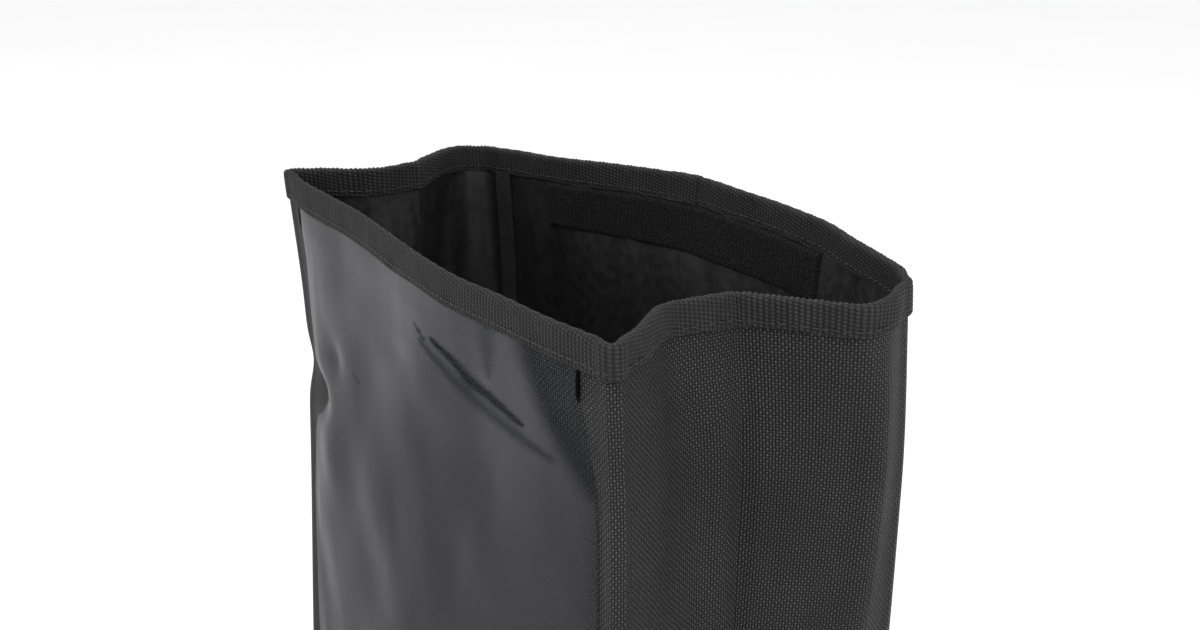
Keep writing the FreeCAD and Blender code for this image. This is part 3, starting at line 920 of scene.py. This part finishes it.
def cling_at(x, z):
    """How closely the film lies on the cloth, from 0 to 1."""
    clings = np.zeros(np.shape(x))
    for run, wide, share in CLING:
        for number, ((ax, az), (bx, bz)) in enumerate(zip(run, run[1:])):
            dx, dz = bx - ax, bz - az
            t = np.clip(((x - ax) * dx + (z - az) * dz) / (dx * dx + dz * dz), 0, 1)
            gap = np.hypot(x - ax - t * dx, (z - az - t * dz) * 1.4)
            along = (number + t) / (len(run) - 1)
            reach = wide * (0.35 + 0.65 * np.sin(math.pi * np.clip(along, 0.02, 0.98)) ** 0.7)
            clings = np.maximum(clings, share * np.exp(-(gap / reach) ** 2))
    bound = 81 + 28 * (np.clip(288 - z, 0, 45) / 34) ** 1.3
    edge = 1 / (1 + np.exp(-(x - bound) / 4.5))
    return np.clip(np.maximum(clings, edge * 0.97), 0, 1)


class BAG_OT_film(bpy.types.Operator):
    """Clear film pocket over the front, caught under the binding"""

    bl_idname = "bag.film"
    bl_label = "Clear film"

    def execute(self, context):
        step = 1.6 * MM
        low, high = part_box("front_film")
        rises = np.linspace(float(low.z / RIM_HEIGHT), float(WALL.rise_under(4 * MM)), 180)
        heights = (WALL_LOW + rises * (RIM_HEIGHT - WALL_LOW)) / MM
        left = np.interp(heights, *zip(*FILM_EDGE)) * MM
        right = (7.5 + 7.5 * np.clip((heights - 250) / 38, 0, 1)) * MM
        count = round((high.x - low.x) / step)
        share = np.linspace(0, 1, count + 1)[:, None]
        front = float(WALL.length(1))
        run = left[None, :] + (front - left - right)[None, :] * share
        places, up = WALL.place_at(run), np.broadcast_to(rises, run.shape)
        here, out = WALL.frame(places, up)
        x, z = here[..., 0] / MM, here[..., 2] / MM
        cling = cling_at(x, z)
        billow = 0.5 * (1 + ripple(run, here[..., 2], ((0.09, 0.11), (0.047, 0.08), (0.15, 0.06)), 21))
        slit = 2.2 * np.exp(-((share - 1) * FILM_RUN / 5) ** 2 - ((z - 284) / 6) ** 2)
        dog_ear = 1.0 * np.exp(-(share * FILM_RUN / 8) ** 2 - ((z - 211) / 9) ** 2)
        depth = (1 - up) * (RIM_HEIGHT - WALL_LOW) / MM
        pinned = np.clip((depth - 11) / 9, 0, 1)
        held = np.clip(np.minimum(share, 1 - share) * FILM_RUN / 14, 0, 1)
        lift = (billow * 1.1 * pinned * held + slit * 0.6 + dog_ear) * MM
        piece = self.sheet(here, out, lift, run)
        layer = piece.data.attributes.new("cling", "FLOAT", "POINT")
        layer.data.foreach_set("value", np.concatenate([cling.ravel()] * 2).astype(np.float32))
        # Painted shadow: dark lens-shaped sheets in the slits at the film's edges.
        self.gap("film_slit_painted_shadow_right", front - 14.2 * MM, 283.0, 5.5, 0.8)
        self.gap("film_slit_painted_shadow_left", 16.6 * MM, 284.5, 5.0, 0.8)
        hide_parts("front_film")
        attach(piece, "front_wall")
        return {"FINISHED"}

    def gap(self, name, run, middle, tall, wide):
        """A lens-shaped sheet in painted shadow, standing for the dark mouth left between the film's edge
        and the cloth.
        """
        heights = np.linspace(-1, 1, 13)
        sides = np.sqrt(1 - np.clip(np.abs(heights), 0, 0.999) ** 2)[:, None]
        across = np.linspace(-1, 1, 5)[None, :] * sides * wide * MM
        rises = ((middle + heights * tall) * MM - WALL_LOW) / (RIM_HEIGHT - WALL_LOW)
        up = np.broadcast_to(rises[:, None], across.shape)
        here, out = WALL.frame(WALL.place_at(run + across), up)
        crowned = np.sqrt(np.clip(1 - np.linspace(-1, 1, 5) ** 2, 0, 1))[None, :] * sides
        over = here + out * (FILM[1] + (0.15 + 0.35 * crowned) * MM)[..., None]
        under = here + out * (FILM[0] - 0.1 * MM)
        faces = closed_sheet(*across.shape, flip=True)
        vertices = both_sides(over, under)
        piece = new_object(name, vertices, faces, material("gap"), vertices[:, [0, 2]])
        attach(piece, "front_wall")

    def sheet(self, here, out, lift, run):
        """The film itself, standing off the cloth by its lift."""
        outer = here + out * (FILM[1] + lift)[..., None]
        inner = here + out * (FILM[0] + lift)[..., None]
        metres = np.stack([run, here[..., 2]], axis=-1).reshape(-1, 2)
        piece = new_object("front_film_sheet", both_sides(outer, inner), closed_sheet(*run.shape),
                           material("film"), np.concatenate([metres, metres]))
        return sharpen(piece)


# The upright seam tapes: how far from the corner, and how wide.
SEAM_TAPE_FROM, SEAM_TAPE_WIDE = 6.2 * MM, 9 * MM


class BAG_OT_seam_tapes(bpy.types.Operator):
    """Bound seams inside: four upright, and two along the base"""

    bl_idname = "bag.seam_tapes"
    bl_label = "Seam tapes"

    def execute(self, context):
        top = context.scene.bag_sizes.tape_leg + 0.3 * MM
        rises = np.linspace(0.012, float(WALL.rise_under(top)), 110)
        for corner, inward, name, stretch in (
            (0.0, 1, "front_left", "front"), (1.0, -1, "front_right", "front"),
            (2.0, 1, "back_right", "back"), (3.0, -1, "back_left", "back"),
        ):
            across = np.linspace(SEAM_TAPE_FROM, SEAM_TAPE_FROM + SEAM_TAPE_WIDE, 9)
            run = WALL.length(corner) + inward * across
            places = np.sort(WALL.place_at(run))
            up = np.broadcast_to(rises, (len(places), len(rises)))
            share = np.linspace(0, 1, len(places))[:, None]
            free = share if inward > 0 else 1 - share
            wave = 0.8 + 0.5 * ripple(up * 0.3, up, ((0.06, 9), (0.11, 9)), 3)
            lift = (0.3 + 0.7 * free * wave) * MM
            piece = slab(f"{name}_seam_binding", places, rises, LINING[0] - lift - 0.9 * MM,
                         LINING[0] - lift, material("seam"))
            side = "left" if "left" in name else "right"
            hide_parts(f"{stretch}_{side}_seam_tape")
            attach(piece, STRETCHES[stretch][2])
        for stretch, (start, end) in (("front", (0.09, 0.91)), ("back", (2.09, 2.91))):
            places = spread(start, end, 3 * MM)
            rises = np.linspace(0.006, 0.036, 6)
            lift = 0.3 * MM + 0.5 * MM * np.linspace(0, 1, 6)[None, :] * np.ones((len(places), 1))
            piece = slab(f"{stretch}_base_seam_binding", places, rises,
                         LINING[0] - lift - 1.0 * MM + seat(rises), LINING[0] - lift + seat(rises),
                         material("seam"))
            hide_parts(f"{stretch}_base_seam_tape")
            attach(piece, STRETCHES[stretch][2])
        return {"FINISHED"}


def base_sheet(name, low, high, shrink, kind):
    """A sheet inside the foot of the wall, dished a little in the middle."""
    places = np.linspace(0, 4, 321)[:-1]
    edge, out = WALL.frame(places, np.zeros(len(places)))
    edge = edge - out * shrink
    rings = np.concatenate([[1.0, 0.985], np.linspace(0.95, 0.06, 26)])
    tops, bottoms = [], []
    for ring in rings:
        points = edge * ring
        quilt = ripple(points[:, 0], points[:, 1], ((0.06, 0.08), (0.11, 0.05)), 5) * (1 - ring)
        quilt = 0.35 * MM * quilt
        tops.append(np.column_stack([points[:, :2], high + quilt]))
        bottoms.append(np.column_stack([points[:, :2], np.full(len(points), low)]))
    n, m = len(rings), len(places)
    vertices = np.concatenate(tops + bottoms + [[[0, 0, high]], [[0, 0, low]]])
    total = n * m
    quads = band_faces(n, m, 0, closed=True, flip=True) + band_faces(n, m, total, closed=True)
    quads += [[j, total + j, total + (j + 1) % m, (j + 1) % m] for j in range(m)]
    last = (n - 1) * m
    quads += [[last + j, last + (j + 1) % m, 2 * total] for j in range(m)]
    quads += [[total + last + (j + 1) % m, total + last + j, 2 * total + 1] for j in range(m)]
    return sharpen(new_object(name, vertices, quads, material(kind), vertices[:, :2] + 0.2))


class BAG_OT_base(bpy.types.Operator):
    """Woven base and its lining"""

    bl_idname = "bag.base"
    bl_label = "Base"

    def execute(self, context):
        outer_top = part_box("base_panel")[1].z
        for name, low, high, shrink, kind, node, slot in (
            ("base_cloth", 0.0, outer_top, 0.4 * MM, "cloth", "base_panel", "woven_fabric"),
            ("base_lining_sheet", outer_top, BASE_TOP, 1.6 * MM, "lining", "base_lining", "smooth_lining"),
        ):
            piece = base_sheet(name, low, high, shrink, kind)
            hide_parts(node)
            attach(piece, "back_and_base")
            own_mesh(piece)
        return {"FINISHED"}


def stitch_mesh(points, ups, outs, radius):
    """Short rounded threads, each from points[i][0] to points[i][1], standing out of the cloth."""
    ring = np.linspace(0, 2 * math.pi, 7)[:-1]
    shares = np.array([0.0, 0.12, 0.5, 0.88, 1.0])
    fat = np.array([0.35, 0.9, 1.0, 0.9, 0.35])
    high = np.array([-0.6, 0.15, 0.55, 0.15, -0.6])
    vertices, faces = [], []
    for (first, last), up, out in zip(points, ups, outs):
        start = len(vertices)
        for share, size, rise in zip(shares, fat, high):
            centre = first + (last - first) * share + out * radius * rise
            for angle in ring:
                vertices.append(centre + (up * math.cos(angle) + out * math.sin(angle)) * radius * size)
        faces += band_faces(len(shares), len(ring), start, closed=True)
        faces.append([start + k for k in range(len(ring))])
        faces.append([start + (len(shares) - 1) * len(ring) + k for k in range(len(ring))][::-1])
    return vertices, faces


def sew(name, path, side, sizes, stretch):
    """A row of stitches. path gives places and depths under the rim, side is the offset outwards."""
    places, depths = (np.asarray(a, float) for a in path)
    here, out = WALL.frame(places, WALL.rise_under(depths))
    here = here + out * WALL.folded(places, side)[..., None]
    run = run_along(here)
    pitch = sizes.stitch_long + sizes.stitch_gap
    count = int(run[-1] / pitch)
    starts = np.linspace(0, run[-1] - pitch, max(count, 1)) + sizes.stitch_gap / 2

    def sample(values, at):
        return np.stack([np.interp(at, run, values[:, k]) for k in range(3)], axis=1)

    first, last = sample(here, starts), sample(here, starts + sizes.stitch_long)
    outs = sample(out, starts + sizes.stitch_long / 2) * (1 if side > 0 else -1)
    along = last - first
    ups = np.cross(outs, along)
    ups /= np.linalg.norm(ups, axis=1, keepdims=True)
    vertices, faces = stitch_mesh(list(zip(first, last)), ups, outs, sizes.thread_thick / 2)
    piece = new_object(name, vertices, faces, material("thread"))
    fasten(piece, stretch)
    return piece


# Height of the hem's stitches over the foot of the wall.
HEM_UP = 9 * MM


class BAG_OT_stitching(bpy.types.Operator):
    """Rows of stitches along the binding, the film, the strips and the base"""

    bl_idname = "bag.stitching"
    bl_label = "Stitching"

    def execute(self, context):
        sizes = context.scene.bag_sizes
        for stretch, (start, end, *_rest) in STRETCHES.items():
            places = spread(start, end, 1.5 * MM)
            row = np.full(len(places), sizes.tape_leg - 2.2 * MM)
            face = TAPE_FACE + 0.12 * MM + sizes.rib_height * 0.35
            sew(f"{stretch}_binding_stitches", (places, row), face, sizes, stretch)
            sew(f"{stretch}_binding_stitches_inside", (places, row), -face, sizes, stretch)
            hem = np.full(len(places), RIM_HEIGHT - WALL_LOW - HEM_UP)
            sew(f"{stretch}_hem_stitches", (places, hem), CLOTH[1], sizes, stretch)
        self.strip_rows(sizes)
        self.film_rows(sizes)
        return {"FINISHED"}

    def strip_rows(self, sizes):
        """Two rows along each closure strip; those of the loop strip show through on the outside of the
        back.
        """
        for name, stretch in (("loop_strip", "back"), ("hook_strip", "front")):
            low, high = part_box(name)
            gap, long = low.x - CAD_BOX[0].x, high.x - low.x
            top = sizes.tape_leg + 1.2 * MM
            if stretch == "back":
                end, start = WALL.length(3) - gap, WALL.length(3) - gap - long
            else:
                start, end = WALL.length(0) + gap, WALL.length(0) + gap + long
            places = WALL.place_at(np.linspace(start, end, 100))
            for word, depth in (("upper", top), ("lower", top + high.z - low.z - 2.2 * MM)):
                depths = np.full(len(places), depth)
                sew(f"{name}_{word}_stitches", (places, depths), LINING[0] - 1.0 * MM, sizes, stretch)
                if stretch == "back":
                    sew(f"{name}_{word}_stitches_outside", (places, depths), CLOTH[1], sizes, stretch)

    def film_rows(self, sizes):
        """The film's bottom hem."""
        places = WALL.place_at(np.linspace(8 * MM, WALL.length(1) - 12 * MM, 160))
        depth = RIM_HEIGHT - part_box("front_film")[0].z - 3 * MM
        sew("film_hem_stitches", (places, np.full(len(places), depth)), FILM[1] + 1.2 * MM, sizes, "front")


# Lamps: name, place, size in metres, power in watts.
LAMPS = (
    ("key", (-0.9, -1.3, 1.6), 1.4, 10.0),
    ("top", (0.9, -0.7, 1.9), 1.2, 20.0),
    ("side", (1.6, 0.5, 0.9), 1.0, 6.0),
)
CAMERA_PLACE = (0.450, -0.287, 0.444)
CAMERA_HEADING, CAMERA_PITCH = math.radians(145.2), math.radians(18.85)
CAMERA_SENSOR, CAMERA_LENS = 36.0, 42.9
WORLD_STRENGTH = 1.06


class BAG_OT_stage(bpy.types.Operator):
    """Pale floor, soft lights and the camera"""

    bl_idname = "bag.stage"
    bl_label = "Stage"

    def execute(self, context):
        self.floor()
        world = bpy.data.worlds.new("studio")
        world.use_nodes = True
        sky = world.node_tree.nodes["Background"]
        sky.inputs["Color"].default_value = (1.0, 1.0, 1.0, 1.0)
        sky.inputs["Strength"].default_value = WORLD_STRENGTH
        context.scene.world = world
        context.scene.view_settings.view_transform = "Standard"
        for lamp in LAMPS:
            self.light(*lamp)
        data = bpy.data.cameras.new("camera")
        data.sensor_width, data.lens = CAMERA_SENSOR, CAMERA_LENS
        data.clip_start, data.clip_end = 0.02, 60.0
        camera = bpy.data.objects.new("camera", data)
        context.scene.collection.objects.link(camera)
        camera.location = CAMERA_PLACE
        heading, pitch = CAMERA_HEADING, CAMERA_PITCH
        aim = Vector((math.cos(heading) * math.cos(pitch), math.sin(heading) * math.cos(pitch),
                      -math.sin(pitch)))
        camera.rotation_euler = aim.to_track_quat("-Z", "Y").to_euler()
        context.scene.camera = camera
        return {"FINISHED"}

    def floor(self):
        """A wide flat floor, with finer faces near the middle."""
        rings, spokes, reach = 40, 96, 14.0
        radii = reach * (np.linspace(0, 1, rings + 1)[1:] ** 2)
        angles = np.linspace(0, 2 * math.pi, spokes + 1)[:-1]
        vertices = [(0.0, 0.0, 0.0)]
        vertices += [(r * math.cos(a), r * math.sin(a), 0.0) for r in radii for a in angles]
        faces = [[0, 1 + j, 1 + (j + 1) % spokes] for j in range(spokes)]
        faces += band_faces(rings, spokes, 1, closed=True)
        floor = new_object("floor", vertices, faces, material("floor"))
        floor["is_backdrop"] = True

    def light(self, name, place, size, power):
        """A square lamp turned towards the bag."""
        data = bpy.data.lights.new(name, "AREA")
        data.size, data.energy = size, power
        lamp = bpy.data.objects.new(name, data)
        lamp.location = place
        lamp.rotation_euler = (Vector((0, 0, 0.15)) - Vector(place)).to_track_quat("-Z", "Y").to_euler()
        bpy.context.scene.collection.objects.link(lamp)


class BAG_PT_panel(bpy.types.Panel):
    """Sizes, colours and pieces of the bag"""

    bl_label = "Battery bag"
    bl_idname = "BAG_PT_panel"
    bl_space_type = "VIEW_3D"
    bl_region_type = "UI"
    bl_category = "Bag"

    def draw(self, context):
        layout = self.layout
        for group in (context.scene.bag_sizes, context.scene.bag_colours):
            box = layout.box()
            for name in group.__annotations__:
                box.prop(group, name)
        for operator in OPERATORS:
            layout.operator(operator.bl_idname)


OPERATORS = (
    BAG_OT_stage, BAG_OT_panels, BAG_OT_linings, BAG_OT_rim_binding, BAG_OT_closure_strips,
    BAG_OT_film, BAG_OT_seam_tapes, BAG_OT_base, BAG_OT_stitching,
)
CLASSES = (BagSizes, BagColours, *OPERATORS, BAG_PT_panel)


def register():
    for each in CLASSES:
        bpy.utils.register_class(each)
    bpy.types.Scene.bag_sizes = bpy.props.PointerProperty(type=BagSizes)
    bpy.types.Scene.bag_colours = bpy.props.PointerProperty(type=BagColours)


def unregister():
    del bpy.types.Scene.bag_colours
    del bpy.types.Scene.bag_sizes
    for each in reversed(CLASSES):
        bpy.utils.unregister_class(each)


def main():
    register()
    bpy.ops.bag.stage()
    bpy.ops.bag.panels()
    bpy.ops.bag.linings()
    bpy.ops.bag.rim_binding()
    bpy.ops.bag.closure_strips()
    bpy.ops.bag.film()
    bpy.ops.bag.seam_tapes()
    bpy.ops.bag.base()
    bpy.ops.bag.stitching()


if __name__ == "__main__":
    main()
